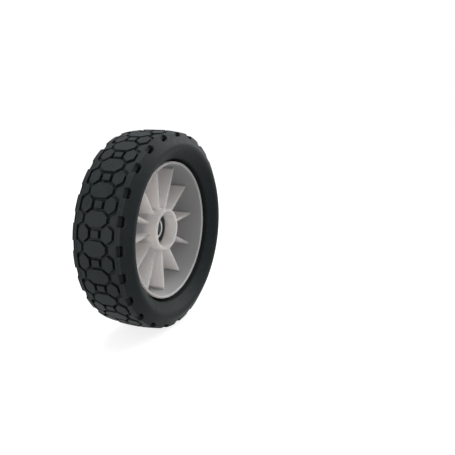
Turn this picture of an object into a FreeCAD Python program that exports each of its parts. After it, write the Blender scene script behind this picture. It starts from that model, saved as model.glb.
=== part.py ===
import FreeCAD, Part
import os
import re
import Sketcher
from FreeCAD import Placement, Rotation, Vector

# A lawn mower wheel. Its axle lies along Y, +Y points out of the smooth outer disc, and the origin
# is on the axle axis in the middle plane of the tyre. All sizes are millimetres or degrees.

# Driving dimensions: name, value, meaning
SIZES = (
    ("rim_radius", 62.4, "outside of the rim that carries the tyre"),
    ("rim_wall", 2.2, "rim wall at its lip"),
    ("rim_draft", 2.0, "draft of the rim's inside"),
    ("lip_round", 0.6, "round of the rim lip"),
    ("lip_sink", 11.0, "rim lip below the sidewall of the tyre, ribbed side"),
    ("ridge_height", 2.2, "locating ridge under the tyre, height"),
    ("ridge_width", 10.0, "locating ridge under the tyre, width at its foot"),
    ("ridge_slope", 2.0, "locating ridge, width of each sloping side"),
    ("disc_flange", 1.5, "how far the edge of the outer disc stands over the rim"),
    ("disc_flange_width", 2.6, "width of that edge along the axle"),
    ("disc_sink", 4.9, "edge of the disc below the sidewall of the tyre"),
    ("disc_rise", 4.5, "how far the disc domes up to its boss"),
    ("disc_wall", 3.0, "thickness of the outer disc"),
    ("boss_wall", 2.0, "wall of the boss round the outboard bearing"),
    ("boss_height", 6.2, "boss above the disc"),
    ("boss_round", 1.2, "round of the boss rim"),
    ("boss_fillet", 1.0, "fillet at the foot of the boss"),
    ("tube_wall", 2.3, "wall of the centre tube at its mouth"),
    ("tube_sink", 5.2, "mouth of the centre tube below the rim lip"),
    ("tube_draft", 0.7, "growth of the tube's radius from its mouth to the disc"),
    ("seat_shoulder", 0.9, "shoulder that stops the inboard bearing"),
    ("rib_count", 12, "ribs between the centre tube and the rim"),
    ("rib_thickness", 1.9, "thickness of a rib"),
    ("rib_sink", 12.4, "top of a rib below the rim lip"),
    ("rib_phase", -3.2, "turn of the ribs about the axle"),
    ("section_height", 27.4, "tyre from the rim to the flat top of a centre block"),
    ("edge_offset", 22.4, "middle plane to the edge of the tread"),
    ("edge_drop", 1.7, "edge of the tread below the centre blocks"),
    ("band_width", 4.4, "plain shoulder band beside the tread blocks"),
    ("band_drop", 1.0, "inner rim of the shoulder band below the centre blocks"),
    ("bevel_width", 6.3, "shoulder bevel along the axle"),
    ("bevel_height", 10.8, "shoulder bevel towards the axle"),
    ("side_round", 5.0, "round between the sidewall and the bevel, disc side"),
    ("ridge_rise", 0.9, "ridge of the ribbed side beyond the sidewall of the disc side"),
    ("ridge_round", 6.0, "round of that ridge"),
    ("dish_angle", 42.6, "slope of the dished sidewall from the ridge to the rim"),
    ("inner_flare", 2.8, "tyre opening over the rim, ribbed side"),
    ("inner_trench", 4.0, "trench between the tyre and the rim, below the rim lip"),
    ("outer_flare", 1.7, "tyre opening over the disc's edge, disc side"),
    ("mouth_round", 1.5, "round of both tyre openings"),
    ("tyre_gap", 0.05, "gap between the tyre and the hub"),
    ("pitch_count", 24, "tread pitches round the tyre"),
    ("tread_phase", 2.1, "turn of the tread about the axle"),
    ("groove_depth", 3.3, "flats of the groove floor below the centre blocks"),
    ("centre_width", 20.2, "centre block, across its tips"),
    ("centre_flat", 10.7, "centre block, width of its leading edge"),
    ("centre_length", 12.3, "centre block, along the tread"),
    ("centre_tip", 4.3, "centre block, length of a blunt tip"),
    ("key_width", 6.9, "small block between two centre blocks, width"),
    ("key_length", 5.4, "small block between two centre blocks, length"),
    ("flank_offset", 11.0, "middle plane to the middle of a flank block"),
    ("flank_drop", 0.4, "middle of a flank block below the centre blocks"),
    ("flank_tilt", 4.5, "lean of a flank block's top"),
    ("flank_width", 9.5, "flank block, across the tread"),
    ("flank_length", 13.9, "flank block, between its peaks"),
    ("flank_inner_length", 5.6, "flank block, inner edge"),
    ("flank_outer_length", 6.7, "flank block, outer edge"),
    ("shoulder_offset", 13.0, "middle plane to the tip of a shoulder block"),
    ("shoulder_drop", 0.9, "tip of a shoulder block below the centre blocks"),
    ("shoulder_tilt", 5.5, "lean of a shoulder block's top"),
    ("shoulder_tip", 5.1, "shoulder block, length of its tip"),
    ("shoulder_length", 12.8, "shoulder block, length in the band"),
    ("notch_depth", 2.6, "shoulder notch, below the bevel"),
    ("notch_reach", 4.0, "shoulder notch, down the bevel from the tread edge"),
    ("notch_width", 9.0, "shoulder notch, along the tread"),
    ("notch_corner", 1.5, "shoulder notch, corner chamfer"),
    ("slot_depth", 4.8, "slot at the end of a shoulder notch, below the bevel"),
    ("slot_width", 2.2, "slot at the end of a shoulder notch, along the bevel"),
    ("axle_radius", 7.5, "bore for the axle"),
    ("bearing_radius", 17.5, "outside of a bearing"),
    ("bearing_width", 11.0, "width of a bearing's outer ring"),
    ("bearing_gap", 0.02, "gap between a bearing and its seat in the hub"),
    ("inboard_sink", 12.5, "inboard bearing below the mouth of the centre tube"),
    ("outboard_sink", 0.5, "outboard bearing below the rim of the boss"),
    ("ring_proud", 2.0, "how far an inner ring stands out of its bearing"),
    ("ring_chamfer", 0.5, "chamfer of a bearing ring's corners"),
    ("ball_count", 8, "balls in a bearing"),
    ("ball_radius", 2.9765, "radius of a ball"),
    ("race_gap", 0.02, "gap between a ball and the bottom of a race"),
    ("race_relief", 0.12, "how much rounder a race is than a ball"),
    ("cage_wall", 2.4, "ball cage, radial thickness"),
    ("cage_rim", 0.35, "ball cage, rim beside a pocket"),
    ("cage_gap", 0.12, "gap between a ball and its cage pocket"),
    ("cage_land_gap", 0.65, "gap between the cage and the rings beside it"),
    ("cage_side_gap", 0.15, "gap between the cage and a seal's seat"),
    ("seal_ledge", 1.2, "seal seat in an outer ring, radial depth"),
    ("seal_neck", 1.1, "step of an inner ring under a seal's lip"),
    ("seal_thickness", 1.5, "seal, thickness"),
    ("seal_lip", 0.6, "seal, thickness of its lip"),
    ("seal_lip_lift", 0.3, "seal, lip above its inner face"),
    ("seal_lip_width", 1.9, "seal, width of the taper to its lip"),
    ("seal_gap", 0.02, "gap between a seal and its seat"),
    ("seal_running_gap", 0.08, "gap between a seal's lip and the inner ring"),
    ("spacer_wall", 2.1, "wall of the spacer between the inner rings"),
)

NAMES = {name for name, value, meaning in SIZES}

doc = FreeCAD.newDocument("lawn_mower_wheel")
sheet = doc.addObject("Spreadsheet::Sheet", "Sizes")
for row, (name, value, meaning) in enumerate(SIZES, start=1):
    sheet.set(f"A{row}", meaning)
    sheet.set(f"B{row}", str(value))
    sheet.setAlias(f"B{row}", name)
doc.recompute()

# Places that several pieces share, as formulas of the driving dimensions
CROWN = "(rim_radius + section_height)"
EDGE = f"({CROWN} - edge_drop)"
BAND = f"({CROWN} - band_drop)"
BAND_OFFSET = "(edge_offset - band_width)"
GROOVE_FLOOR = f"({CROWN} - groove_depth)"
SIDE = f"({EDGE} - bevel_height)"
SIDE_OFFSET = "(edge_offset + bevel_width)"
BEVEL_ANGLE = "atan(bevel_height / bevel_width)"
RIDGE = f"({SIDE} - ridge_rise * bevel_height / bevel_width)"
RIDGE_OFFSET = f"({SIDE_OFFSET} + ridge_rise)"
HALF_PITCH = "(180 / pitch_count)"
DISC_RADIUS = "(rim_radius + disc_flange)"
DISC_EDGE = f"({SIDE_OFFSET} - disc_sink)"
DISC_INNER = f"({DISC_EDGE} - disc_wall)"
LIP = f"(lip_sink - {SIDE_OFFSET})"
TUBE_MOUTH = f"({LIP} + tube_sink)"
RIB_TOP = f"({LIP} + rib_sink)"
RIM_INSIDE = "(rim_radius - rim_wall)"
RIM_FOOT = f"({RIM_INSIDE} - ({DISC_INNER} - {LIP}) * tan(rim_draft))"
BOSS_RADIUS = "(bearing_radius + bearing_gap + boss_wall)"
BOSS_FOOT = f"({DISC_EDGE} + disc_rise)"
BOSS_FACE = f"({BOSS_FOOT} + boss_height)"
TUBE_BORE = "(bearing_radius - seat_shoulder)"
TUBE_RADIUS = f"({TUBE_BORE} + tube_wall)"
INBOARD_FACE = f"({TUBE_MOUTH} + inboard_sink)"
OUTBOARD_FACE = f"({BOSS_FACE} - outboard_sink)"
BEARING_CENTRES = {
    "inboard": f"{INBOARD_FACE} + bearing_width / 2",
    "outboard": f"{OUTBOARD_FACE} - bearing_width / 2",
}
OUTWARD = {"inboard": "-", "outboard": ""}
INWARD = {"inboard": "", "outboard": "-"}
RACE_PITCH = "((bearing_radius + axle_radius) / 2)"
RACE_ROUND = "(ball_radius + race_relief)"
CAGE_INSIDE = f"({RACE_PITCH} - cage_wall / 2)"
CAGE_OUTSIDE = f"({RACE_PITCH} + cage_wall / 2)"
CAGE_SIDE = "(ball_radius + cage_gap + cage_rim)"
INNER_LAND = f"({CAGE_INSIDE} - cage_land_gap)"
OUTER_LAND = f"({CAGE_OUTSIDE} + cage_land_gap)"
INNER_NECK = f"({INNER_LAND} - seal_neck)"
SEAL_SEAT = f"({OUTER_LAND} + seal_ledge)"
SEAL_SHELF = f"({CAGE_SIDE} + cage_side_gap)"

parts = []


def formula(text):
    """The text with each driving dimension named as a cell of the sheet."""
    return re.sub(r"[a-z_]+", lambda word: f"Sizes.{word[0]}" if word[0] in NAMES else word[0], text)


def worth(text):
    """The number that a formula of driving dimensions gives."""
    return float(sheet.evalExpression(formula(text)))


def bind(item, **formulas):
    """Bind properties to formulas. A double underscore in a name stands for a dot."""
    for name, text in formulas.items():
        item.setExpression(name.replace("__", "."), formula(text))


def new_body(label):
    """A body that is one sub-part of the wheel."""
    body = doc.addObject("PartDesign::Body", label)
    body.Label = label
    parts.append(body)
    return body


def datum(body, role):
    """A plane or an axis of a body's own origin."""
    return next(item for item in body.Origin.OriginFeatures if item.Role == role)


def outline(body, name, plane, corners, seat=None):
    """A closed sketch whose corners are pairs of formulas, on an origin plane or on a seat beside it."""
    sketch = body.newObject("Sketcher::SketchObject", name)
    sketch.AttachmentSupport = [(datum(body, plane), "")]
    sketch.MapMode = "FlatFace"
    if seat:
        bind(sketch, AttachmentOffset=seat)
    points = [Vector(worth(across), worth(along), 0) for across, along in corners]
    count = len(points)
    for index, point in enumerate(points):
        sketch.addGeometry(Part.LineSegment(point, points[(index + 1) % count]))
    for index, point in enumerate(points):
        sketch.addConstraint(Sketcher.Constraint("Coincident", index, 2, (index + 1) % count, 1))
        for kind, text, value in zip(("DistanceX", "DistanceY"), corners[index], (point.x, point.y)):
            number = sketch.addConstraint(Sketcher.Constraint(kind, -1, 1, index, 1, value))
            sketch.setExpression(f"Constraints[{number}]", formula(text))
    return sketch


def turn(body, name, corners, kind="PartDesign::Revolution"):
    """Turn a half section, given as pairs of radius and axial place, about the axle."""
    sketch = outline(body, f"{name}_section", "XY_Plane", corners)
    feature = body.newObject(kind, name)
    feature.Profile = sketch
    feature.ReferenceAxis = (sketch, ["V_Axis"])
    feature.Angle = 360
    doc.recompute()
    return feature


def repeat(body, name, originals, count):
    """Repeat features evenly round the axle."""
    pattern = body.newObject("PartDesign::PolarPattern", name)
    pattern.Originals = originals
    pattern.Axis = (datum(body, "Y_Axis"), [""])
    pattern.Angle = 360
    pattern.Refine = False
    bind(pattern, Occurrences=count)
    body.Tip = pattern
    doc.recompute()


def round_rims(body, name, radius, rims):
    """Round the circular edges at the given pairs of radius and axial place."""
    base = body.Tip
    spots = [(worth(reach), worth(place)) for reach, place in rims]
    edges = []
    for number, edge in enumerate(base.Shape.Edges, start=1):
        if isinstance(edge.Curve, Part.Circle):
            centre = edge.Curve.Center
            for reach, place in spots:
                if abs(edge.Curve.Radius - reach) < 1e-4 and abs(centre.y - place) < 1e-4:
                    edges.append(f"Edge{number}")
    if len(edges) < len(rims):
        raise RuntimeError(f"{name}: an edge to round is missing")
    fillet = body.newObject("PartDesign::Fillet", name)
    fillet.Base = (base, edges)
    bind(fillet, Radius=radius)
    doc.recompute()
    return fillet


def seat(turned, across, height, tilt="0"):
    """A sketch seat turned about the axle, then set across the tread at a height, with a lean."""
    return (
        f"create(<<placement>>; create(<<vector>>; 0; 0; 0);"
        f" create(<<rotation>>; create(<<vector>>; 1; 0; 0); {turned}))"
        f" * create(<<placement>>; create(<<vector>>; {across}; 0; {height});"
        f" create(<<rotation>>; create(<<vector>>; 0; 1; 0); {tilt}))"
    )


def mirrored(corners):
    """Corners of the half of an outline beyond the across axis, added in reverse order."""
    return corners + [(across, f"-({along})") for across, along in reversed(corners)]


def tread_block(tyre, name, corners, place, top):
    """A tread block, sunk from its flat top into the carcass as deep again as its groove."""
    pad = tyre.newObject("PartDesign::Pad", name)
    pad.Profile = outline(tyre, f"{name}_outline", "YZ_Plane", corners, place)
    pad.Reversed = True
    pad.Refine = False
    bind(pad, Length=f"2 * ({top} - {GROOVE_FLOOR})")
    doc.recompute()
    return pad


def tread(tyre):
    """The blocks of one pitch, repeated round the tyre."""
    centre = [
        ("-centre_width / 2", "centre_tip / 2"),
        ("-centre_flat / 2", "centre_length / 2"),
        ("centre_flat / 2", "centre_length / 2"),
        ("centre_width / 2", "centre_tip / 2"),
    ]
    key = [("-key_width / 2", "key_length / 2"), ("key_width / 2", "key_length / 2")]
    blocks = [
        tread_block(tyre, "centre_block", mirrored(centre), seat("0", "0", CROWN), CROWN),
        tread_block(tyre, "key_block", mirrored(key), seat(HALF_PITCH, "0", CROWN), CROWN),
    ]
    flank_top = f"({CROWN} - flank_drop)"
    shoulder_top = f"({CROWN} - shoulder_drop)"
    shoulder_reach = f"({BAND_OFFSET} + band_width / 4 - shoulder_offset)"
    for side, word in ((-1, "inner"), (1, "outer")):
        flank = [
            (f"{side} * -flank_width / 2", "flank_inner_length / 2"),
            ("0", "flank_length / 2"),
            (f"{side} * flank_width / 2", "flank_outer_length / 2"),
        ]
        place = seat(HALF_PITCH, f"{side} * flank_offset", flank_top, f"{side} * flank_tilt")
        blocks.append(tread_block(tyre, f"{word}_flank_block", mirrored(flank), place, flank_top))
        shoulder = [("0", "shoulder_tip / 2"), (f"{side} * {shoulder_reach}", "shoulder_length / 2")]
        place = seat("0", f"{side} * shoulder_offset", shoulder_top, f"{side} * shoulder_tilt")
        blocks.append(tread_block(tyre, f"{word}_shoulder_block", mirrored(shoulder), place, shoulder_top))
    repeat(tyre, "tread_pitches", blocks, "pitch_count")


def shoulder_notches(tyre):
    """A notch in each shoulder bevel, in line with every centre block, with a deep slot at its end."""
    notches = []
    for side, word in ((-1, "inner"), (1, "outer")):
        place = seat("0", f"{side} * edge_offset", EDGE, f"{side} * {BEVEL_ANGLE}")
        for name, beginning, depth in (
            (f"{word}_notch", "(-2 * notch_reach)", "notch_depth"),
            (f"{word}_slot", "(notch_reach - slot_width)", "slot_depth"),
        ):
            corners = [
                (f"{side} * {beginning}", "notch_width / 2"),
                (f"{side} * (notch_reach - notch_corner)", "notch_width / 2"),
                (f"{side} * notch_reach", "notch_width / 2 - notch_corner"),
            ]
            pocket = tyre.newObject("PartDesign::Pocket", name)
            pocket.Profile = outline(tyre, f"{name}_outline", "YZ_Plane", mirrored(corners), place)
            pocket.Refine = False
            bind(pocket, Length=depth)
            doc.recompute()
            notches.append(pocket)
    repeat(tyre, "notch_pitches", notches, "pitch_count")


def dish(radius):
    """Axial place of the dished sidewall at a radius."""
    return f"(({RIDGE} - {radius}) * tan(dish_angle) - {RIDGE_OFFSET})"


def tyre_body():
    """The solid rubber tyre, with a ridge groove and a flange rebate in its bore."""
    tyre = new_body("tyre")
    floor = tyre.newObject("PartDesign::AdditivePrism", "groove_floor")
    floor.Placement = Placement(Vector(0, 0, 0), Rotation(Vector(1, 0, 0), 90))
    bind(
        floor,
        Polygon="pitch_count",
        Circumradius=f"{GROOVE_FLOOR} / cos({HALF_PITCH})",
        Height=f"2 * {BAND_OFFSET}",
        Placement__Base__y=BAND_OFFSET,
    )
    doc.recompute()
    trench = f"({GROOVE_FLOOR} - groove_depth)"
    outside = [
        ("0", dish("rim_radius")),
        ("rim_radius", dish("rim_radius")),
        (RIDGE, f"-{RIDGE_OFFSET}"),
        (EDGE, "-edge_offset"),
        (BAND, f"-{BAND_OFFSET}"),
        (trench, f"-{BAND_OFFSET}"),
        (trench, BAND_OFFSET),
        (BAND, BAND_OFFSET),
        (EDGE, "edge_offset"),
        (SIDE, SIDE_OFFSET),
        ("0", SIDE_OFFSET),
    ]
    turn(tyre, "carcass", outside)
    bore = "(rim_radius + tyre_gap)"
    groove = f"({bore} + ridge_height)"
    rebate = f"({DISC_RADIUS} + tyre_gap)"
    foot = "(ridge_width / 2 + tyre_gap)"
    crest = "(ridge_width / 2 - ridge_slope + tyre_gap)"
    flange = f"({DISC_EDGE} - disc_flange_width - tyre_gap)"
    inner_mouth = "(rim_radius + inner_flare)"
    outer_mouth = f"({DISC_RADIUS} + outer_flare)"
    inside = [
        ("0", f"-{RIDGE_OFFSET}"),
        (inner_mouth, f"-{RIDGE_OFFSET}"),
        (inner_mouth, f"{LIP} + inner_trench"),
        (bore, f"{LIP} + inner_trench"),
        (bore, f"-{foot}"),
        (groove, f"-{crest}"),
        (groove, crest),
        (bore, foot),
        (bore, flange),
        (rebate, flange),
        (rebate, DISC_EDGE),
        (outer_mouth, SIDE_OFFSET),
        ("0", SIDE_OFFSET),
    ]
    turn(tyre, "hub_seat", inside, "PartDesign::Groove")
    mouths = [(inner_mouth, dish(inner_mouth)), (outer_mouth, SIDE_OFFSET)]
    round_rims(tyre, "rounded_mouths", "mouth_round", mouths)
    round_rims(tyre, "rounded_ridge", "ridge_round", [(RIDGE, f"-{RIDGE_OFFSET}")])
    round_rims(tyre, "rounded_sidewall", "side_round", [(SIDE, SIDE_OFFSET)])
    tread(tyre)
    shoulder_notches(tyre)
    tyre.Placement = Placement(Vector(0, 0, 0), Rotation(Vector(0, 1, 0), 0))
    bind(tyre, Placement__Rotation__Angle="tread_phase")


def hub_ribs(hub):
    """Flat-topped ribs from the centre tube to the rim, standing on the disc."""
    root = f"({TUBE_RADIUS} - tube_wall / 2)"
    wall = f"({RIM_INSIDE} - ({RIB_TOP} - {LIP}) * tan(rim_draft) + rim_wall / 2)"
    corners = [
        (root, RIB_TOP),
        (wall, RIB_TOP),
        (f"{RIM_FOOT} + rim_wall / 2", f"{DISC_INNER} + disc_wall / 2"),
        (root, f"{DISC_INNER} + disc_rise + disc_wall / 2"),
    ]
    rib = hub.newObject("PartDesign::Pad", "rib")
    rib.Profile = outline(hub, "rib_side", "XY_Plane", corners)
    rib.Midplane = True
    bind(rib, Length="rib_thickness")
    doc.recompute()
    repeat(hub, "ribs", [rib], "rib_count")


def hub_body():
    """The moulded hub: rim, domed outer disc, boss, centre tube and ribs in one piece."""
    hub = new_body("wheel_hub")
    seat_bore = "(bearing_radius + bearing_gap)"
    ridge = "(rim_radius + ridge_height)"
    flange = f"({DISC_EDGE} - disc_flange_width)"
    section = [
        (TUBE_BORE, INBOARD_FACE),
        (TUBE_BORE, TUBE_MOUTH),
        (TUBE_RADIUS, TUBE_MOUTH),
        (f"{TUBE_RADIUS} + tube_draft", f"{DISC_INNER} + disc_rise"),
        (RIM_FOOT, DISC_INNER),
        (RIM_INSIDE, LIP),
        ("rim_radius", LIP),
        ("rim_radius", "-ridge_width / 2"),
        (ridge, "ridge_slope - ridge_width / 2"),
        (ridge, "ridge_width / 2 - ridge_slope"),
        ("rim_radius", "ridge_width / 2"),
        ("rim_radius", flange),
        (DISC_RADIUS, flange),
        (DISC_RADIUS, DISC_EDGE),
        (BOSS_RADIUS, BOSS_FOOT),
        (BOSS_RADIUS, BOSS_FACE),
        (seat_bore, BOSS_FACE),
        (seat_bore, INBOARD_FACE),
    ]
    turn(hub, "shell", section)
    round_rims(hub, "rounded_lip", "lip_round", [("rim_radius", LIP), (RIM_INSIDE, LIP)])
    round_rims(hub, "rounded_boss", "boss_round", [(BOSS_RADIUS, BOSS_FACE)])
    round_rims(hub, "filleted_boss", "boss_fillet", [(BOSS_RADIUS, BOSS_FOOT)])
    hub_ribs(hub)
    hub.Placement = Placement(Vector(0, 0, 0), Rotation(Vector(0, 1, 0), 0))
    bind(hub, Placement__Rotation__Angle="rib_phase")


def settle(piece, bearing):
    """Set a bearing piece, modelled about its own centre, into its place in the wheel."""
    bind(piece, Placement__Base__y=BEARING_CENTRES[bearing])


def cut_race(ring, name, centre):
    """Cut the round race of a ring, whose round is centred at the given radius."""
    race = ring.newObject("PartDesign::SubtractiveTorus", name)
    race.Placement = Placement(Vector(0, 0, 0), Rotation(Vector(1, 0, 0), 90))
    bind(race, Radius1=centre, Radius2=RACE_ROUND)
    doc.recompute()


def outer_ring(bearing):
    """A bearing's outer ring, with a seal seat at each face."""
    ring = new_body(f"{bearing}_outer_ring")
    half = [
        (OUTER_LAND, SEAL_SHELF),
        (SEAL_SEAT, SEAL_SHELF),
        (SEAL_SEAT, "bearing_width / 2"),
        ("bearing_radius - ring_chamfer", "bearing_width / 2"),
        ("bearing_radius", "bearing_width / 2 - ring_chamfer"),
    ]
    turn(ring, "ring", mirrored(half))
    cut_race(ring, "race", f"{RACE_PITCH} + ball_radius + race_gap - {RACE_ROUND}")
    settle(ring, bearing)


def inner_ring(bearing):
    """A bearing's inner ring, which stands proud on the side that faces out of the wheel."""
    ring = new_body(f"{bearing}_inner_ring")
    out = OUTWARD[bearing]
    back = INWARD[bearing]
    proud = "(bearing_width / 2 + ring_proud)"
    section = [
        ("axle_radius", f"{back}(bearing_width / 2)"),
        ("axle_radius", f"{out}({proud} - ring_chamfer)"),
        ("axle_radius + ring_chamfer", f"{out}{proud}"),
        (f"{INNER_NECK} - ring_chamfer", f"{out}{proud}"),
        (INNER_NECK, f"{out}({proud} - ring_chamfer)"),
        (INNER_NECK, f"{out}{SEAL_SHELF}"),
        (INNER_LAND, f"{out}{SEAL_SHELF}"),
        (INNER_LAND, f"{back}{SEAL_SHELF}"),
        (INNER_NECK, f"{back}{SEAL_SHELF}"),
        (INNER_NECK, f"{back}(bearing_width / 2)"),
    ]
    turn(ring, "ring", section)
    cut_race(ring, "race", f"{RACE_PITCH} - ball_radius - race_gap + {RACE_ROUND}")
    settle(ring, bearing)


def seal(bearing, word, way):
    """A rubber seal, pressed into the outer ring and tapered to a lip at the inner ring."""
    piece = new_body(f"{bearing}_{word}_seal")
    lip = f"({INNER_NECK} + seal_running_gap)"
    taper = f"({lip} + seal_lip_width)"
    rim = f"({SEAL_SEAT} - seal_gap)"
    bottom = f"({SEAL_SHELF} + seal_gap)"
    top = f"({bottom} + seal_thickness)"
    section = [
        (lip, f"{way}({bottom} + seal_lip_lift + seal_lip)"),
        (lip, f"{way}({bottom} + seal_lip_lift)"),
        (taper, f"{way}{bottom}"),
        (rim, f"{way}{bottom}"),
        (rim, f"{way}{top}"),
        (taper, f"{way}{top}"),
    ]
    turn(piece, "ring", section)
    settle(piece, bearing)


def cage(bearing):
    """A ball cage: a ring with a round pocket for each ball."""
    piece = new_body(f"{bearing}_cage")
    turn(piece, "ring", mirrored([(CAGE_OUTSIDE, CAGE_SIDE), (CAGE_INSIDE, CAGE_SIDE)]))
    pocket = piece.newObject("PartDesign::SubtractiveSphere", "pocket")
    pocket.Placement = Placement(Vector(0, 0, 0), Rotation(Vector(0, 1, 0), 90))
    bind(pocket, Radius="ball_radius + cage_gap", Placement__Base__x=RACE_PITCH)
    doc.recompute()
    repeat(piece, "pockets", [pocket], "ball_count")
    settle(piece, bearing)


def balls(bearing):
    """The balls of a bearing, one in each pocket of its cage."""
    for index in range(int(worth("ball_count"))):
        ball = doc.addObject("Part::Sphere", f"{bearing}_ball_{index + 1}")
        ball.Label = f"{bearing}_ball_{index + 1}"
        angle = f"{index} * 360 / ball_count"
        bind(
            ball,
            Radius="ball_radius",
            Placement__Base__x=f"{RACE_PITCH} * cos({angle})",
            Placement__Base__y=BEARING_CENTRES[bearing],
            Placement__Base__z=f"{RACE_PITCH} * sin({angle})",
        )
        parts.append(ball)


def spacer():
    """The steel tube between the two inner rings."""
    tube = new_body("bearing_spacer")
    inner_end = f"{INBOARD_FACE} + bearing_width"
    outer_end = f"{OUTBOARD_FACE} - bearing_width"
    section = [
        ("axle_radius", inner_end),
        ("axle_radius", outer_end),
        ("axle_radius + spacer_wall", outer_end),
        ("axle_radius + spacer_wall", inner_end),
    ]
    turn(tube, "tube", section)


def check_and_write():
    """Stop on any failed object or bad solid, then write each sub-part to its own file."""
    doc.recompute()
    for item in doc.Objects:
        if {"Invalid", "Error"} & set(item.State):
            raise RuntimeError(f"{item.Label} failed: {item.State}")
    for piece in parts:
        shape = piece.Shape
        if shape.isNull() or not shape.isValid() or len(shape.Solids) != 1:
            raise RuntimeError(f"{piece.Label} is not one valid solid")
    os.makedirs("parts", exist_ok=True)
    for piece in parts:
        piece.Shape.exportStep(os.path.join("parts", f"{piece.Label}.step"))


tyre_body()
hub_body()
for bearing_name in BEARING_CENTRES:
    outer_ring(bearing_name)
    inner_ring(bearing_name)
    seal(bearing_name, "outward", OUTWARD[bearing_name])
    seal(bearing_name, "inward", INWARD[bearing_name])
    cage(bearing_name)
    balls(bearing_name)
spacer()
check_and_write()
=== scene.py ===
"""A lawn mower wheel in a white studio: block-tread tyre, ribbed plastic hub and sealed ball bearings."""
import logging
import math
from abc import ABC, abstractmethod
from dataclasses import dataclass
from enum import Enum
from functools import cache

import bmesh
import bpy
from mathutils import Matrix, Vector


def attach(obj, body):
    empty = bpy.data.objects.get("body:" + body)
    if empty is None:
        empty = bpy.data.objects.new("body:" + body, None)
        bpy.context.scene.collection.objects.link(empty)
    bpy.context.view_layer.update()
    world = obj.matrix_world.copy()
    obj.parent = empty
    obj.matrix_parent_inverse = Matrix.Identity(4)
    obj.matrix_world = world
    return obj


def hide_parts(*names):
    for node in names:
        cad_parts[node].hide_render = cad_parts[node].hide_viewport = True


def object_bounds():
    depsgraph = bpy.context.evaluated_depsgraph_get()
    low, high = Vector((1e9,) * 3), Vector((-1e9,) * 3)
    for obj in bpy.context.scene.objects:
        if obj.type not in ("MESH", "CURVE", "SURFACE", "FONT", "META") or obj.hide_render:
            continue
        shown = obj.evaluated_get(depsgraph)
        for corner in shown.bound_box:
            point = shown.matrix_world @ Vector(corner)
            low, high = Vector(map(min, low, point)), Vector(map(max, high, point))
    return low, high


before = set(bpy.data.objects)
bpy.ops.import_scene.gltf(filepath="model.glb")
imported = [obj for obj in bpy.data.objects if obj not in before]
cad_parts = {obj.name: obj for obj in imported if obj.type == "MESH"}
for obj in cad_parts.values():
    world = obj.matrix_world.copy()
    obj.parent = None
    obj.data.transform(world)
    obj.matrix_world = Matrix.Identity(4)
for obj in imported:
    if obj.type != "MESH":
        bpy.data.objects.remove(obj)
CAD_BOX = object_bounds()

LOG = logging.getLogger("mower_wheel")
MM = 0.001

Colour = tuple[float, float, float]
Span = tuple[float, float]
Node = bpy.types.Node
Socket = bpy.types.NodeSocket
Term = float | Socket

WHITE = (1.0, 1.0, 1.0, 1.0)
# The body that every new piece rides on.
WHEEL_BODY = "wheel"
# Keeps the part of a place that lies across the axle.
ACROSS_AXLE = (1.0, 0.0, 1.0)
# Points of the model that lie closer than this, in metres, are welded into one.
WELD_DISTANCE = 2e-6
# Steps across a rounded edge.
EDGE_STEPS = 2
# Material slot of the rounded edges of a moulded piece, after the slot of its main finish.
EDGE_SLOT = 1
# A Mix node has sockets for each kind of value. These are the factor and the ones for colours.
MIX_FACTOR = 0
MIX_FIRST = 6
MIX_SECOND = 7
MIX_RESULT = 2
# Space between two nodes in the node editor.
NODE_SPACING = 180


class Side(Enum):
    """The two bearings, with the way their proud inner ring points along the axle."""

    INBOARD = -1
    OUTBOARD = 1

    @property
    def word(self) -> str:
        """The first word of this bearing's node names."""
        return self.name.lower()


class SealFace(Enum):
    """The two seals of a bearing: one on the side of the proud inner ring, and one on the hidden side."""

    OUTWARD = 1
    INWARD = -1

    @property
    def word(self) -> str:
        """The second word of this seal's node name."""
        return self.name.lower()


class Ramp(Enum):
    """How a result runs between two limits."""

    STRAIGHT = "LINEAR"
    SOFT = "SMOOTHSTEP"


class Reading(Enum):
    """What an effect reads of a spot on the surface: its place, or the way that it faces."""

    PLACE = "Object"
    NORMAL = "Normal"


# Places of the bearings' centres along the axle, in millimetres.
BEARING_CENTRES = {Side.INBOARD: 5.5, Side.OUTBOARD: 28.5}


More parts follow.
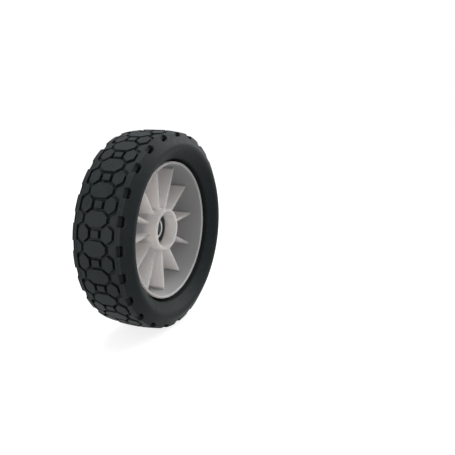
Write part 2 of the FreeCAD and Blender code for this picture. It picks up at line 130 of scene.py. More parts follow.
class Wiring:
    """A node tree under construction."""

    def __init__(self, tree: bpy.types.NodeTree) -> None:
        """Start from an empty tree."""
        self.tree = tree
        tree.nodes.clear()

    def add(self, kind: str, **settings: object) -> Node:
        """Add a node and set its properties and its unlinked inputs.

        Args:
            kind: the node's type name.
            **settings: a property of the node, or an input named with underscores for spaces.

        Returns:
            The new node.
        """
        node = self.tree.nodes.new(kind)
        node.location = (NODE_SPACING * len(self.tree.nodes), 0)
        for name, value in settings.items():
            if hasattr(node, name):
                setattr(node, name, value)
            else:
                node.inputs[name.replace("_", " ")].default_value = value
        return node

    def effect(self, tree: bpy.types.NodeTree, **values: float) -> Node:
        """Place a shared effect, with its inputs named with underscores for spaces."""
        return self.add("ShaderNodeGroup", node_tree=tree, **values)

    def link(self, source: Socket, target: Socket) -> None:
        """Link an output to an input."""
        self.tree.links.new(source, target)

    def feed(self, term: Term | Colour, target: Socket) -> None:
        """Link an output to an input, or set the input to a number or a colour.

        Args:
            term: a number, a colour or an output socket.
            target: the input.
        """
        if isinstance(term, Socket):
            self.link(term, target)
        elif isinstance(term, tuple):
            target.default_value = (*term, 1.0)
        else:
            target.default_value = term

    def calc(self, operation: str, *terms: Term, clamp: bool = False) -> Socket:
        """Add a math node.

        Args:
            operation: the math node's operation.
            *terms: numbers or output sockets.
            clamp: whether the result stays between 0 and 1.

        Returns:
            The result's socket.
        """
        node = self.add("ShaderNodeMath", operation=operation, use_clamp=clamp)
        for term, target in zip(terms, node.inputs):
            self.feed(term, target)
        return node.outputs[0]

    def blend(self, factor: Term, first: Colour | Socket, second: Colour | Socket) -> Socket:
        """Mix two colours.

        Args:
            factor: a number or an output socket.
            first: a colour or an output socket, shown at factor 0.
            second: a colour or an output socket, shown at factor 1.

        Returns:
            The mixed colour's socket.
        """
        node = self.add("ShaderNodeMix", data_type="RGBA")
        self.feed(factor, node.inputs[MIX_FACTOR])
        self.feed(first, node.inputs[MIX_FIRST])
        self.feed(second, node.inputs[MIX_SECOND])
        return node.outputs[MIX_RESULT]

    def spread(self, value: Socket, low: Term, high: Term, ramp: Ramp = Ramp.STRAIGHT) -> Socket:
        """Map a value to 0 at one limit and 1 at another.

        Args:
            value: the value's socket.
            low: the limit that gives 0.
            high: the limit that gives 1.
            ramp: how the result runs between the limits.

        Returns:
            The result's socket.
        """
        node = self.add("ShaderNodeMapRange", interpolation_type=ramp.value)
        self.link(value, node.inputs["Value"])
        self.feed(low, node.inputs["From Min"])
        self.feed(high, node.inputs["From Max"])
        return node.outputs[0]

    def between(self, share: Socket, low: Socket, high: Socket) -> Socket:
        """Turn a share from 0 to 1 into a value between two others.

        Args:
            share: the share's socket.
            low: the value at share 0.
            high: the value at share 1.

        Returns:
            The value's socket.
        """
        node = self.add("ShaderNodeMapRange")
        self.link(share, node.inputs["Value"])
        self.link(low, node.inputs["To Min"])
        self.link(high, node.inputs["To Max"])
        return node.outputs[0]

    def read(self, reading: Reading) -> Socket:
        """The place of a spot on the surface, or the way that it faces."""
        return self.add("ShaderNodeTexCoord").outputs[reading.value]

    def along(self, reading: Reading = Reading.PLACE) -> Socket:
        """The part of a reading that lies along the axle.

        Args:
            reading: what is read of the surface.

        Returns:
            The value's socket.
        """
        parts = self.add("ShaderNodeSeparateXYZ")
        self.link(self.read(reading), parts.inputs[0])
        return parts.outputs["Y"]

    def reach(self) -> Socket:
        """The distance of a place from the axle.

        Returns:
            The value's socket.
        """
        flat = self.add("ShaderNodeVectorMath", operation="MULTIPLY")
        self.link(self.read(Reading.PLACE), flat.inputs[0])
        flat.inputs[1].default_value = ACROSS_AXLE
        length = self.add("ShaderNodeVectorMath", operation="LENGTH")
        self.link(flat.outputs[0], length.inputs[0])
        return length.outputs["Value"]


class Effects:
    """Shader node groups that several finishes share, each built once."""

    # The middle part of each noise that is spread from 0 to 1.
    MOTTLE_SPAN: Span = (0.32, 0.68)
    MARK_SPAN: Span = (0.3, 0.7)
    # Shares of the mottle and of the fine grain in the roughness.
    MOTTLE_SHARE = 0.6
    GRAIN_SHARE = 0.4
    # How fast the turning marks change along the axle, where 1 is as fast as away from it.
    ALONG_SHARE = 0.83

    @staticmethod
    def group(name: str, inputs: tuple[str, ...], outputs: tuple[str, ...]) -> tuple[Wiring, Node, Node]:
        """Make an empty group with float sockets.

        Args:
            name: the group's name.
            inputs: names of its inputs.
            outputs: names of its outputs.

        Returns:
            The wiring, the group's input node and its output node.
        """
        tree = bpy.data.node_groups.new(name, "ShaderNodeTree")
        for way, words in (("INPUT", inputs), ("OUTPUT", outputs)):
            for word in words:
                tree.interface.new_socket(word, in_out=way, socket_type="NodeSocketFloat")
        wiring = Wiring(tree)
        return wiring, wiring.add("NodeGroupInput"), wiring.add("NodeGroupOutput")

    @staticmethod
    @cache
    def grain() -> bpy.types.NodeTree:
        """Moulded grain: a fine height, a slow mottle and the roughness that goes with both.

        Returns:
            The group.
        """
        wiring, given, result = Effects.group(
            "moulded_grain",
            ("Grain Scale", "Mottle Scale", "Rough Low", "Rough High"),
            ("Mottle", "Roughness", "Height"),
        )
        place = wiring.read(Reading.PLACE)
        fine = wiring.add("ShaderNodeTexNoise", Detail=4.0, Roughness=0.62)
        slow = wiring.add("ShaderNodeTexNoise", Detail=3.0, Roughness=0.55)
        for noise, scale in ((fine, "Grain Scale"), (slow, "Mottle Scale")):
            wiring.link(place, noise.inputs["Vector"])
            wiring.link(given.outputs[scale], noise.inputs["Scale"])
        mottle = wiring.spread(slow.outputs["Fac"], *Effects.MOTTLE_SPAN)
        from_mottle = wiring.calc("MULTIPLY", mottle, Effects.MOTTLE_SHARE)
        from_grain = wiring.calc("MULTIPLY", fine.outputs["Fac"], Effects.GRAIN_SHARE)
        share = wiring.calc("ADD", from_mottle, from_grain)
        rough = wiring.between(share, given.outputs["Rough Low"], given.outputs["Rough High"])
        wiring.link(mottle, result.inputs["Mottle"])
        wiring.link(rough, result.inputs["Roughness"])
        wiring.link(fine.outputs["Fac"], result.inputs["Height"])
        return wiring.tree

    @staticmethod
    @cache
    def turning() -> bpy.types.NodeTree:
        """Turned and ground marks that run round the axle.

        Returns:
            The group.
        """
        wiring, given, result = Effects.group(
            "turning_marks", ("Marks", "Rough Low", "Rough High"), ("Mark", "Roughness", "Height")
        )
        along = wiring.calc("MULTIPLY", wiring.along(), Effects.ALONG_SHARE)
        place = wiring.calc("ADD", wiring.reach(), along)
        track = wiring.calc("MULTIPLY", place, given.outputs["Marks"])
        noise = wiring.add(
            "ShaderNodeTexNoise", noise_dimensions="1D", Scale=1.0, Detail=5.0, Roughness=0.7
        )
        wiring.link(track, noise.inputs["W"])
        mark = wiring.spread(noise.outputs["Fac"], *Effects.MARK_SPAN)
        rough = wiring.between(mark, given.outputs["Rough Low"], given.outputs["Rough High"])
        wiring.link(mark, result.inputs["Mark"])
        wiring.link(rough, result.inputs["Roughness"])
        wiring.link(noise.outputs["Fac"], result.inputs["Height"])
        return wiring.tree

    @staticmethod
    @cache
    def wheel_place() -> bpy.types.NodeTree:
        """Where a place lies along the axle and how far it is from it, each from 0 to 1.

        Returns:
            The group.
        """
        wiring, given, result = Effects.group(
            "wheel_place", ("Along Low", "Along High", "Reach Low", "Reach High"), ("Along", "Reach")
        )
        for word, value in (("Along", wiring.along()), ("Reach", wiring.reach())):
            low, high = given.outputs[word + " Low"], given.outputs[word + " High"]
            wiring.link(wiring.spread(value, low, high, Ramp.SOFT), result.inputs[word])
        return wiring.tree

    @staticmethod
    @cache
    def facing() -> bpy.types.NodeTree:
        """How far a face looks out of the ribbed side, from 0 to 1, which masks painted shade on the hub.

        Returns:
            The group.
        """
        wiring, given, result = Effects.group("facing", ("Low", "High"), ("Facing",))
        outward = wiring.calc("MULTIPLY", wiring.along(Reading.NORMAL), -1.0)
        share = wiring.spread(outward, given.outputs["Low"], given.outputs["High"], Ramp.SOFT)
        wiring.link(share, result.inputs["Facing"])
        return wiring.tree

    @staticmethod
    @cache
    def cavity() -> bpy.types.NodeTree:
        """How open a place is, from 0 deep in a groove to 1 on a free face, which masks painted shade.

        Returns:
            The group.
        """
        wiring, given, result = Effects.group("cavity", ("Distance", "Contrast"), ("Open",))
        near = wiring.add("ShaderNodeAmbientOcclusion", samples=12)
        wiring.link(given.outputs["Distance"], near.inputs["Distance"])
        free = wiring.calc("POWER", near.outputs["AO"], given.outputs["Contrast"])
        wiring.link(free, result.inputs["Open"])
        return wiring.tree

    @staticmethod
    @cache
    def mould_line() -> bpy.types.NodeTree:
        """A fine line round the wheel at the same place on both sides of its middle plane.

        Returns:
            The group.
        """
        wiring, given, result = Effects.group("mould_line", ("Place", "Width"), ("Line",))
        aside = wiring.calc("ABSOLUTE", wiring.along())
        away = wiring.calc("ABSOLUTE", wiring.calc("SUBTRACT", aside, given.outputs["Place"]))
        share = wiring.calc("DIVIDE", away, given.outputs["Width"], clamp=True)
        wiring.link(wiring.calc("SUBTRACT", 1.0, share), result.inputs["Line"])
        return wiring.tree


@dataclass(frozen=True)
class Finish(ABC):
    """What every finish has: two colours that it wanders between, its roughness and its relief."""

    name: str
    colour: Colour
    shade: Colour
    rough: Span
    # Strength of the relief, and its depth in metres.
    bump: float
    depth: float

    @property
    def label(self) -> str:
        """The material's name in the scene."""
        return self.name + "_finish"

    def start(self) -> tuple[bpy.types.Material, Wiring, Node]:
        """Make the material with its shader.

        Returns:
            The material, its wiring and its Principled shader.
        """
        material = bpy.data.materials.new(self.label)
        material.use_nodes = True
        wiring = Wiring(material.node_tree)
        shader = wiring.add("ShaderNodeBsdfPrincipled")
        output = wiring.add("ShaderNodeOutputMaterial")
        wiring.link(shader.outputs[0], output.inputs["Surface"])
        return material, wiring, shader

    def relief(self, wiring: Wiring, shader: Node, height: Socket) -> None:
        """Give the shader a bump from a height.

        Args:
            wiring: the material's wiring.
            shader: the Principled shader.
            height: the height's socket.
        """
        node = wiring.add("ShaderNodeBump", Strength=self.bump, Distance=self.depth)
        wiring.link(height, node.inputs["Height"])
        wiring.link(node.outputs[0], shader.inputs["Normal"])

    @abstractmethod
    def material(self) -> bpy.types.Material:
        """The finished material."""


@dataclass(frozen=True)
class Grained(Finish):
    """What moulded rubber and moulded plastic have: a grain and a mottle, each with its scale."""

    grain: float
    mottle: float

    def moulded_grain(self, wiring: Wiring) -> Node:
        """Place the grain effect with this finish's values.

        Args:
            wiring: the material's wiring.

        Returns:
            The effect's node.
        """
        return wiring.effect(
            Effects.grain(),
            Grain_Scale=self.grain,
            Mottle_Scale=self.mottle,
            Rough_Low=self.rough[0],
            Rough_High=self.rough[1],
        )


@dataclass(frozen=True)
class Matt(Grained):
    """Moulded rubber, or the plain dark plastic of a cage."""

    grain: float = 2200.0
    mottle: float = 55.0
    specular: float = 0.22

    def paint(self, wiring: Wiring, grain: Node) -> Socket:
        """The colour, which wanders with the grain's mottle."""
        return wiring.blend(grain.outputs["Mottle"], self.shade, self.colour)

    def surface(self, wiring: Wiring, grain: Node) -> Socket:
        """The height of the grain's relief."""
        return grain.outputs["Height"]

    def material(self) -> bpy.types.Material:
        """Wire the grain, the colour and the relief.

        Returns:
            The finished material.
        """
        material, wiring, shader = self.start()
        shader.inputs["Specular IOR Level"].default_value = self.specular
        grain = self.moulded_grain(wiring)
        wiring.link(self.paint(wiring, grain), shader.inputs["Base Color"])
        wiring.link(grain.outputs["Roughness"], shader.inputs["Roughness"])
        self.relief(wiring, shader, self.surface(wiring, grain))
        return material


@dataclass(frozen=True)
class TyreRubber(Matt):
    """Tyre rubber, blackened in its grooves by painted shade, with a mould line beside each edge of the
    tread.
    """

    # Colour of the painted shade in the grooves and on the mould line.
    painted_shade: Colour = (0.002, 0.002, 0.002)
    # How near a wall makes a place a groove for painted shade, in metres, and how the painted shade grows
    # into it.
    cavity: float = 0.002
    contrast: float = 0.6
    # The mould line's distance from the middle plane and its width, in metres, and how much painted shade
    # darkens it.
    line: float = 0.0203
    line_width: float = 0.0004
    line_shade: float = 0.6

    def mould_line(self, wiring: Wiring) -> Socket:
        """The mask of the mould line."""
        return wiring.effect(Effects.mould_line(), Place=self.line, Width=self.line_width).outputs["Line"]

    def paint(self, wiring: Wiring, grain: Node) -> Socket:
        """The mottled colour, with painted shade in the grooves and on the mould line.

        Args:
            wiring: the material's wiring.
            grain: the grain effect's node.

        Returns:
            The colour's socket.
        """
        # Painted shade: near black deep in the grooves and on the mould line.
        cavity = wiring.effect(Effects.cavity(), Distance=self.cavity, Contrast=self.contrast)
        line = wiring.calc("MULTIPLY", self.mould_line(wiring), self.line_shade)
        lined = wiring.blend(line, super().paint(wiring, grain), self.painted_shade)
        return wiring.blend(cavity.outputs["Open"], self.painted_shade, lined)

    def surface(self, wiring: Wiring, grain: Node) -> Socket:
        """The height of the grain, sunk along the mould line."""
        return wiring.calc("SUBTRACT", grain.outputs["Height"], self.mould_line(wiring))


@dataclass(frozen=True)
class Plastic(Grained):
    """Moulded plastic: warm inside the wheel, white on the disc, with painted shade on the rim's wall,
    greyed too by the tyre behind it, and on the faces that look out of the ribbed side.
    """

    grain: float = 1500.0
    mottle: float = 40.0
    # Colours of the disc's outside; of the rim's wall, greyer where the tyre lies behind it and darkened by
    # painted shade; of the faces that look out of the ribbed side and of the rim's lip, darkened by painted
    # shade, as they face the open side and its light.
    outside: Colour = (0.8, 0.805, 0.81)
    backed_and_shaded: Colour = (0.43, 0.435, 0.445)
    front: Colour = (0.52, 0.505, 0.495)
    lip: Colour = (0.39, 0.385, 0.385)
    # Places along the axle, in metres, between which the lip ends, the front faces end and the outside
    # starts.
    lip_end: Span = (-0.0176, -0.0166)
    front_end: Span = (0.0120, 0.0150)
    outside_start: Span = (0.0215, 0.0235)
    # Distances from the axle, in metres, between which the rim's wall starts.
    wall_start: Span = (0.0565, 0.0595)
    # How far a face looks out of the ribbed side when it starts to be a front face, and when it is one.
    front_facing: Span = (0.35, 0.75)
    # Light that spreads inside the plastic: its share, its reach for each colour and its scale in metres.
    glow: float = 0.9
    glow_radius: Colour = (1.0, 0.9, 0.8)
    glow_scale: float = 0.008

    def paint(self, wiring: Wiring, grain: Node) -> Socket:
        """The colour of each zone of the hub, with painted shade on the rim's wall, the front faces and the
        lip.

        Args:
            wiring: the material's wiring.
            grain: the grain effect's node.

        Returns:
            The colour's socket.
        """
        rim = wiring.effect(
            Effects.wheel_place(),
            Along_Low=self.lip_end[0],
            Along_High=self.lip_end[1],
            Reach_Low=self.wall_start[0],
            Reach_High=self.wall_start[1],
        )
        deep = wiring.effect(
            Effects.wheel_place(), Along_Low=self.front_end[0], Along_High=self.front_end[1]
        )
        disc = wiring.effect(
            Effects.wheel_place(), Along_Low=self.outside_start[0], Along_High=self.outside_start[1]
        )
        facing = wiring.effect(Effects.facing(), Low=self.front_facing[0], High=self.front_facing[1])
        inside = wiring.blend(grain.outputs["Mottle"], self.shade, self.colour)
        # Painted shade on the rim's wall, together with the grey of the tyre behind it.
        wall_shade_mask = wiring.calc("MULTIPLY", rim.outputs["Reach"], rim.outputs["Along"])
        shaded_walls = wiring.blend(wall_shade_mask, inside, self.backed_and_shaded)
        # Painted shade on the front faces and the lip, where they face the open side and its light.
        shallow = wiring.calc("SUBTRACT", 1.0, deep.outputs["Along"])
        front_shade_mask = wiring.calc("MULTIPLY", facing.outputs["Facing"], shallow)
        shaded_fronts = wiring.blend(rim.outputs["Reach"], self.front, self.lip)
        ribbed = wiring.blend(front_shade_mask, shaded_walls, shaded_fronts)
        return wiring.blend(disc.outputs["Along"], ribbed, self.outside)

    def material(self) -> bpy.types.Material:
        """Wire the grain, the colour and the relief, and set the light inside the plastic.

        Returns:
            The finished material.
        """
        material, wiring, shader = self.start()
        shader.inputs["Subsurface Weight"].default_value = self.glow
        shader.inputs["Subsurface Radius"].default_value = self.glow_radius
        shader.inputs["Subsurface Scale"].default_value = self.glow_scale
        grain = self.moulded_grain(wiring)
        wiring.link(self.paint(wiring, grain), shader.inputs["Base Color"])
        wiring.link(grain.outputs["Roughness"], shader.inputs["Roughness"])
        self.relief(wiring, shader, grain.outputs["Height"])
        return material


@dataclass(frozen=True)
class Steel(Finish):
    """Ground steel with marks that run round the axle, so many to the metre."""

    marks: float = 9000.0

    def material(self) -> bpy.types.Material:
        """Wire the marks, the colour and the relief.

        Returns:
            The finished material.
        """
        material, wiring, shader = self.start()
        shader.inputs["Metallic"].default_value = 1.0
        turning = wiring.effect(
            Effects.turning(), Marks=self.marks, Rough_Low=self.rough[0], Rough_High=self.rough[1]
        )
        colour = wiring.blend(turning.outputs["Mark"], self.shade, self.colour)
        wiring.link(colour, shader.inputs["Base Color"])
        wiring.link(turning.outputs["Roughness"], shader.inputs["Roughness"])
        self.relief(wiring, shader, turning.outputs["Height"])
        return material


TYRE_RUBBER = TyreRubber(
    "tyre_rubber", (0.0186, 0.0234, 0.0237), (0.0136, 0.017, 0.0173),
    rough=(0.45, 0.63), bump=0.28, depth=0.0002, mottle=220.0, specular=0.09,
)
# The rounded tread edges: smoother rubber, lighter as a painted highlight.
TYRE_EDGE_HIGHLIGHT = TyreRubber(
    "tyre_rubber_edge_highlight", (0.0245, 0.0296, 0.0301), (0.0179, 0.0216, 0.0219),
    rough=(0.41, 0.57), bump=0.22, depth=0.0002, mottle=220.0, specular=0.11,
)
HUB_PLASTIC = Plastic(
    "hub_plastic", (0.91, 0.855, 0.835), (0.885, 0.835, 0.815),
    rough=(0.4, 0.52), bump=0.08, depth=0.0002,
)
# The hub's rounded edges: smoother plastic, with the same zones and painted shade as its faces.
HUB_EDGE = Plastic(
    "hub_plastic_edge", (0.91, 0.86, 0.84), (0.89, 0.84, 0.82),
    rough=(0.36, 0.46), bump=0.06, depth=0.0002, outside=(0.82, 0.82, 0.82), backed_and_shaded=(0.4, 0.405, 0.41),
)
OUTER_RING_STEEL = Steel(
    "outer_ring_steel", (0.21, 0.215, 0.22), (0.16, 0.165, 0.17),
    rough=(0.28, 0.42), bump=0.12, depth=0.0001,
)
INNER_RING_STEEL = Steel(
    "inner_ring_steel", (0.55, 0.56, 0.57), (0.44, 0.45, 0.46),
    rough=(0.3, 0.42), bump=0.1, depth=0.0001,
)
SPACER_STEEL = Steel(
    "spacer_steel", (0.5, 0.5, 0.5), (0.4, 0.4, 0.4),
    rough=(0.3, 0.45), bump=0.15, depth=0.0001, marks=4000.0,
)
BALL_STEEL = Steel(
    "ball_steel", (0.8, 0.8, 0.81), (0.76, 0.76, 0.77),
    rough=(0.05, 0.1), bump=0.02, depth=0.00005, marks=3000.0,
)
SEAL_RUBBER = Matt(
    "seal_rubber", (0.04, 0.041, 0.042), (0.031, 0.032, 0.033),
    rough=(0.4, 0.55), bump=0.15, depth=0.0001, grain=3000.0,
)
CAGE_PLASTIC = Matt(
    "cage_plastic", (0.2, 0.17, 0.12), (0.16, 0.13, 0.09),
    rough=(0.4, 0.55), bump=0.1, depth=0.0001, grain=2500.0,
)


def apply_finishes(piece: bpy.types.Object, *finishes: Finish) -> None:
    """Give a piece one material slot for each finish.

    Args:
        piece: the object to dress.
        *finishes: its finishes, the main one first.
    """
    piece.data.materials.clear()
    for finish in finishes:
        known = bpy.data.materials.get(finish.label)
        piece.data.materials.append(known or finish.material())


def stand_in(piece: bpy.types.Object, node: str) -> None:
    """Let a new piece stand for a node of the model and ride on the wheel.

    Args:
        piece: the new piece.
        node: the node that it stands for.
    """
    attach(piece, WHEEL_BODY)
    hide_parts(node)
    LOG.info("%s stands for %s", piece.name, node)


def new_piece(name: str, mesh: bpy.types.Mesh) -> bpy.types.Object:
    """Put a mesh into the scene as an object.

    Args:
        name: the object's name.
        mesh: its mesh.

    Returns:
        The object.
    """
    piece = bpy.data.objects.new(name, mesh)
    bpy.context.scene.collection.objects.link(piece)
    return piece


def round_edges(piece: bpy.types.Object, width: float) -> bpy.types.Modifier:
    """Add a bevel, and normals that keep the faces beside it flat.

    Args:
        piece: the object.
        width: the width of the round.

    Returns:
        The bevel.
    """
    bevel = piece.modifiers.new("edge_round", "BEVEL")
    bevel.width = width
    bevel.segments = EDGE_STEPS
    even = piece.modifiers.new("even_normals", "WEIGHTED_NORMAL")
    even.keep_sharp = True
    return bevel


@dataclass
class Moulding:
    """A moulded piece: the model's own faces, with edges rounded beyond a reach from the axle."""

    node: str
    edge: float
    beyond: float = 0.0
    clamp: bool = False
    # An edge is sharp from this angle, in degrees.
    sharp: float = 30.0
    # Faces that meet at less than this angle, in degrees, become one, unless they look along the axle.
    join: float = 0.3
    looks_along: float = 0.98

    def mark(self, shape: bmesh.types.BMesh) -> None:
        """Mark the edges that the bevel rounds.

        Args:
            shape: the piece's faces.
        """
        weights = shape.edges.layers.float.new("bevel_weight_edge")
        for edge in shape.edges:
            sharp = math.degrees(edge.calc_face_angle(0.0)) > self.sharp
            far = min(math.hypot(vert.co.x, vert.co.z) for vert in edge.verts) > self.beyond
            edge.smooth = not (sharp and far)
            edge[weights] = float(sharp and far)

    def build(self) -> bpy.types.Object:
        """Make the rounded piece.

        Returns:
            The new object.
        """
        name = self.node + "_moulded"
        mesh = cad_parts[self.node].data.copy()
        mesh.name = name
        shape = bmesh.new()
        shape.from_mesh(mesh)
        bmesh.ops.remove_doubles(shape, verts=shape.verts, dist=WELD_DISTANCE)
        loose = [
            edge for edge in shape.edges
            if all(abs(face.normal.y) < self.looks_along for face in edge.link_faces)
        ]
        bmesh.ops.dissolve_limit(shape, angle_limit=math.radians(self.join), verts=[], edges=loose)
        for face in shape.faces:
            face.smooth = True
        self.mark(shape)
        shape.to_mesh(mesh)
        shape.free()
        piece = new_piece(name, mesh)
        bevel = round_edges(piece, self.edge)
        bevel.limit_method = "WEIGHT"
        bevel.use_clamp_overlap = self.clamp
        bevel.material = EDGE_SLOT
        bevel.miter_outer = "MITER_ARC"
        return piece


@dataclass
class Tyre:
    """The solid rubber tyre, whose tread edges are rounded."""

    edge: float = 0.25 * MM
    tread_from: float = 76.0 * MM

    def build(self) -> None:
        """Build the tyre, dress it and let it ride on the wheel."""
        piece = Moulding("tyre", self.edge, beyond=self.tread_from).build()
        self.dress(piece)
        stand_in(piece, "tyre")

    def dress(self, piece: bpy.types.Object) -> None:
        """Give the tyre its rubber, lighter on the rounded edges as a painted highlight."""
        apply_finishes(piece, TYRE_RUBBER, TYRE_EDGE_HIGHLIGHT)


@dataclass
class Hub:
    """The ribbed plastic hub."""

    edge: float = 0.4 * MM

    def build(self) -> None:
        """Build the hub, dress it and let it ride on the wheel."""
        piece = Moulding("wheel_hub", self.edge, clamp=True).build()
        self.dress(piece)
        stand_in(piece, "wheel_hub")

    def dress(self, piece: bpy.types.Object) -> None:
        """Give the hub its plastic, smoother on the rounded edges."""
        apply_finishes(piece, HUB_PLASTIC, HUB_EDGE)


@dataclass
class Turned:
    """A turned ring: a section of radius, axial place and corner round, in metres, swept about the axle."""

    name: str
    corners: list[tuple[float, float, float]]
    facets: int = 128
    corner_steps: int = 4
    # An edge stays sharp from this angle, in degrees.
    sharp: float = 40.0

    def section(self) -> list[tuple[float, float]]:
        """The section with its corners rounded.

        Returns:
            Pairs of radius and axial place.
        """
        points: list[tuple[float, float]] = []
        count = len(self.corners)
        for index, (reach, along, radius) in enumerate(self.corners):
            corner = Vector((reach, along))
            if radius <= 0.0:
                points.append((reach, along))
                continue
            before = (Vector(self.corners[index - 1][:2]) - corner).normalized()
            after = (Vector(self.corners[(index + 1) % count][:2]) - corner).normalized()
            for step in range(self.corner_steps + 1):
                share = step / self.corner_steps
                near = corner + before * radius * (1.0 - share) ** 2 + after * radius * share ** 2
                points.append((near.x, near.y))
        return points

    def build(self) -> bpy.types.Object:
        """Sweep the section.

        Returns:
            The new object.
        """
        section = self.section()
        shape = bmesh.new()
        rings = []
        for facet in range(self.facets):
            angle = 2.0 * math.pi * facet / self.facets
            rings.append([
                shape.verts.new((reach * math.cos(angle), along, reach * math.sin(angle)))
                for reach, along in section
            ])
        for facet in range(self.facets):
            here, there = rings[facet], rings[(facet + 1) % self.facets]
            for index in range(len(section)):
                following = (index + 1) % len(section)
                shape.faces.new((here[index], here[following], there[following], there[index]))
        bmesh.ops.recalc_face_normals(shape, faces=shape.faces)
        mesh = bpy.data.meshes.new(self.name)
        shape.to_mesh(mesh)
        shape.free()
        mesh.shade_smooth()
        mesh.set_sharp_from_angle(angle=math.radians(self.sharp))
        return new_piece(self.name, mesh)


def soften(node: bpy.types.Object, width: float, sharp: float = 35.0) -> None:
    """Round the edges of a node of the model by modifiers.

    Args:
        node: the node's object.
        width: the width of the round.
        sharp: the angle, in degrees, from which an edge is rounded.
    """
    weld = node.modifiers.new("weld", "WELD")
    weld.merge_threshold = WELD_DISTANCE
    bevel = round_edges(node, width)
    bevel.limit_method = "ANGLE"
    bevel.angle_limit = math.radians(sharp)


@dataclass
class Seal:
    """A rubber seal with a pressed rim, a groove and a thin lip. Sizes are millimetres."""

    side: Side
    face: SealFace
    centre: float
    # Each corner's radius, its place along the axle from the bearing's centre, and its round.
    corners: tuple[tuple[float, float, float], ...] = (
        (9.63, 3.92, 0.1), (11.53, 3.62, 0.0), (15.52, 3.62, 0.1), (15.52, 5.11, 0.2), (14.6, 5.11, 0.08),
        (14.4, 4.92, 0.08), (13.4, 4.92, 0.08), (13.15, 4.62, 0.1), (12.6, 4.62, 0.1), (12.35, 4.98, 0.1),
        (11.6, 4.98, 0.15), (11.2, 4.72, 0.15), (9.63, 4.5, 0.12),
    )

    def build(self) -> None:
        """Build the seal, dress it and let it ride on the wheel."""
        node = f"{self.side.word}_{self.face.word}_seal"
        way = self.side.value * self.face.value
        corners = [
            (reach * MM, (self.centre + way * along) * MM, radius * MM)
            for reach, along, radius in self.corners
        ]
        piece = Turned(node + "_turned", corners).build()
        self.dress(piece)
        stand_in(piece, node)

    def dress(self, piece: bpy.types.Object) -> None:
        """Give the seal its rubber."""
        apply_finishes(piece, SEAL_RUBBER)


@dataclass
class Bearing:
    """One sealed ball bearing, with the place of its centre along the axle in millimetres."""

    side: Side
    centre: float
    edge: float = 0.15 * MM

    def build(self) -> None:
        """Build the seals, round the edges of the rings and dress every piece."""
        for name in ("outer_ring", "inner_ring"):
            soften(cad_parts[f"{self.side.word}_{name}"], self.edge)
        for face in SealFace:
            Seal(self.side, face, self.centre).build()
        self.dress()
        LOG.info("%s bearing built", self.side.word)

    def dress(self) -> None:
        """Give the rings, the cage and the balls their finishes."""
        finishes = {
            "outer_ring": OUTER_RING_STEEL,
            "inner_ring": INNER_RING_STEEL,
            "cage": CAGE_PLASTIC,
            "ball": BALL_STEEL,
        }
        for name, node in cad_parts.items():
            for word, finish in finishes.items():
                if name.startswith(f"{self.side.word}_{word}"):
                    apply_finishes(node, finish)


@dataclass
class Spacer:
    """The steel tube between the two inner rings."""

    edge: float = 0.15 * MM

    def build(self) -> None:
        """Round the tube's ends and dress it."""
        soften(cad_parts["bearing_spacer"], self.edge)
        self.dress()
        LOG.info("spacer built")

    def dress(self) -> None:
        """Give the tube its drawn steel."""
        apply_finishes(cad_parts["bearing_spacer"], SPACER_STEEL)


@dataclass(frozen=True)
class Lamp:
    """A soft square lamp that points at the wheel. Sizes are metres and the power is in watts."""

    name: str
    place: tuple[float, float, float]
    size: float
    power: float

    def hang(self) -> None:
        """Hang the lamp."""
        data = bpy.data.lights.new(self.name, "AREA")
        data.shape = "SQUARE"
        data.size = self.size
        data.energy = self.power
        lamp = bpy.data.objects.new(self.name, data)
        lamp.location = self.place
        lamp.rotation_euler = (-Vector(self.place)).to_track_quat("-Z", "Y").to_euler()
        bpy.context.scene.collection.objects.link(lamp)


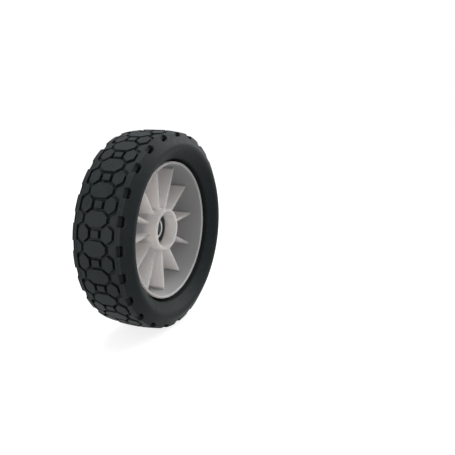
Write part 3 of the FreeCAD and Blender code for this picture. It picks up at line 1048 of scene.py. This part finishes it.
@dataclass
class Studio:
    """White floor and surround, soft lamps and the camera."""

    # Strength of the surround as a light.
    ambient: float = 0.65
    # The floor's glow as a light, and its paint and its lift where it is seen.
    floor_glow: float = 0.4
    floor_paint: Colour = (0.35, 0.35, 0.35)
    floor_lift: float = 0.8
    # Half the floor's width, in metres.
    floor_half: float = 4.0
    lamps: tuple[Lamp, ...] = (
        Lamp("top_lamp", (-0.1, 0.12, 1.25), 0.6, 9.0),
        Lamp("left_lamp", (-1.15, 0.5, 0.05), 0.4, 7.5),
        Lamp("right_lamp", (0.95, -0.55, 0.7), 0.8, 10.0),
    )
    # The camera's place in metres, how far it looks down and its heading in degrees, and its optics.
    eye: tuple[float, float, float] = (-0.410, -0.2573, 0.1170)
    tilt: float = 13.61
    heading: float = -65.79
    lens: float = 42.25
    sensor: float = 36.0
    nearest: float = 0.01
    # A camera with no rotation looks straight down. This turn, in degrees, makes it level.
    level: float = 90.0

    def light_and_show(self, wiring: Wiring, light: Node, show: Node) -> Socket:
        """Light the wheel by one shader and show another to the camera, in mirrors and through glass.

        Args:
            wiring: the wiring of a material or of the world.
            light: the shader that lights.
            show: the shader that is seen.

        Returns:
            The mixed shader's socket.
        """
        path = wiring.add("ShaderNodeLightPath")
        mirrored = wiring.calc("MAXIMUM", path.outputs["Is Camera Ray"], path.outputs["Is Glossy Ray"])
        seen = wiring.calc("MAXIMUM", mirrored, path.outputs["Is Transmission Ray"])
        mix = wiring.add("ShaderNodeMixShader")
        for source, target in zip((seen, light.outputs[0], show.outputs[0]), mix.inputs):
            wiring.link(source, target)
        return mix.outputs[0]

    def surround(self) -> None:
        """White to the eye, softer as a light."""
        world = bpy.data.worlds.new("white_surround")
        world.use_nodes = True
        bpy.context.scene.world = world
        wiring = Wiring(world.node_tree)
        soft = wiring.add("ShaderNodeBackground", Color=WHITE, Strength=self.ambient)
        white = wiring.add("ShaderNodeBackground", Color=WHITE, Strength=1.0)
        output = wiring.add("ShaderNodeOutputWorld")
        wiring.link(self.light_and_show(wiring, soft, white), output.inputs["Surface"])

    def floor(self) -> None:
        """A white floor under the tyre, which keeps the wheel's shadow."""
        low = CAD_BOX[0][2]
        half = self.floor_half
        corners = [(-half, -half, low), (half, -half, low), (half, half, low), (-half, half, low)]
        mesh = bpy.data.meshes.new("studio_floor")
        mesh.from_pydata(corners, [], [(0, 1, 2, 3)])
        floor = new_piece("studio_floor", mesh)
        material = bpy.data.materials.new("floor_white")
        material.use_nodes = True
        wiring = Wiring(material.node_tree)
        glow = wiring.add("ShaderNodeEmission", Color=WHITE, Strength=self.floor_glow)
        paint = wiring.add("ShaderNodeBsdfDiffuse", Color=(*self.floor_paint, 1.0))
        lift = wiring.add("ShaderNodeEmission", Color=WHITE, Strength=self.floor_lift)
        both = wiring.add("ShaderNodeAddShader")
        wiring.link(paint.outputs[0], both.inputs[0])
        wiring.link(lift.outputs[0], both.inputs[1])
        output = wiring.add("ShaderNodeOutputMaterial")
        wiring.link(self.light_and_show(wiring, glow, both), output.inputs["Surface"])
        mesh.materials.append(material)

    def camera(self) -> None:
        """Set the camera at the photograph's place."""
        data = bpy.data.cameras.new("photo_camera")
        data.lens = self.lens
        data.sensor_width = self.sensor
        data.clip_start = self.nearest
        eye = bpy.data.objects.new("photo_camera", data)
        eye.location = self.eye
        eye.rotation_euler = (math.radians(self.level - self.tilt), 0.0, math.radians(self.heading))
        bpy.context.scene.collection.objects.link(eye)
        bpy.context.scene.camera = eye

    def build(self) -> None:
        """Set up the whole studio."""
        bpy.context.scene.view_settings.view_transform = "Standard"
        self.surround()
        self.floor()
        for lamp in self.lamps:
            lamp.hang()
        self.camera()
        LOG.info("studio set")


def main() -> None:
    """Build the wheel's pieces in order, then the studio."""
    logging.basicConfig(level=logging.INFO, format="%(name)s: %(message)s")
    Tyre().build()
    Hub().build()
    for side, centre in BEARING_CENTRES.items():
        Bearing(side, centre).build()
    Spacer().build()
    Studio().build()


if __name__ == "__main__":
    main()
